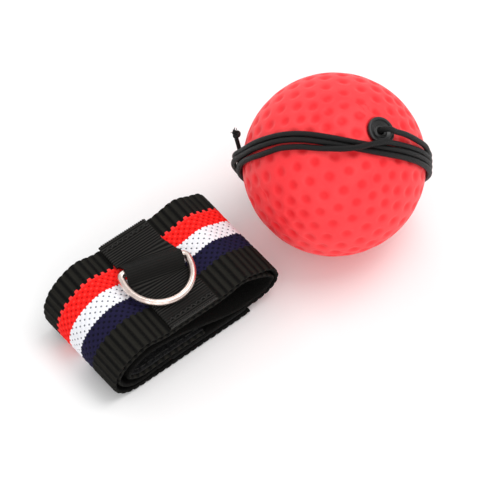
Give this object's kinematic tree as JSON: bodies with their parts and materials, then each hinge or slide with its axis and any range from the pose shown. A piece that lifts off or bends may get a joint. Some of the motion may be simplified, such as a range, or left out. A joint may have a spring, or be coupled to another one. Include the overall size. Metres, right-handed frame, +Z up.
{
  "type": "reflex ball headband",
  "caption": "Rolled elastic headband with hook-and-loop closure and D-ring, beside a dimpled foam ball with its elastic cord wound round it.",
  "frame": {"origin": "on the resting face, under the middle of the rolled headband", "axes": "+X along the roll towards the ball, +Y along the roll's axis (across the strap), +Z up"},
  "size_m": [0.1419, 0.065, 0.0653],
  "materials": {
    "knit": "rib knit with red, white and navy stripes",
    "hook_and_loop": "matt hook-and-loop tape",
    "webbing": "fine ribbed grosgrain",
    "thread": "polyester thread",
    "ring_steel": "bright nickel plate",
    "foam": "dimpled matt foam skin",
    "plug_plastic": "moulded, half gloss",
    "cord": "braided elastic cord"
  },
  "bodies": {
    "headband": {"elastic_strap": "knit", "loop_patch": "hook_and_loop", "loop_stitching": "thread", "ring_webbing": "webbing", "far_stitching": "thread", "near_stitching": "thread"},
    "closure_tab": {"strap_tab": "knit", "hook_patch": "hook_and_loop", "hook_stitching": "thread"},
    "ring": {"d_ring": "ring_steel"},
    "ball": {"ball_foam": "foam", "cord_plug": "plug_plastic", "anchor_knot": "cord", "cord_lead": "cord", "cord_winding": "cord", "cord_tail": "cord", "end_knot": "cord", "frayed_tip": "cord"}
  },
  "joints": [
    {"name": "d_ring_pivot", "type": "hinge", "parent": "headband", "child": "ring", "pos_m": [-0.0014, 0.00251, 0.02671], "axis": [-0.9659, 0.2568, 0.0324], "range_deg": [0, 165]},
    {"name": "closure_peel", "type": "hinge", "parent": "headband", "child": "closure_tab", "pos_m": [-0.02, 0, 0], "axis": [0, 1, 0], "range_deg": [0, 75]},
    {"name": "ball_lift", "type": "slide", "parent": "headband", "child": "ball", "axis": [0, 0, 1], "range_m": [0, 0.12]}
  ]
}
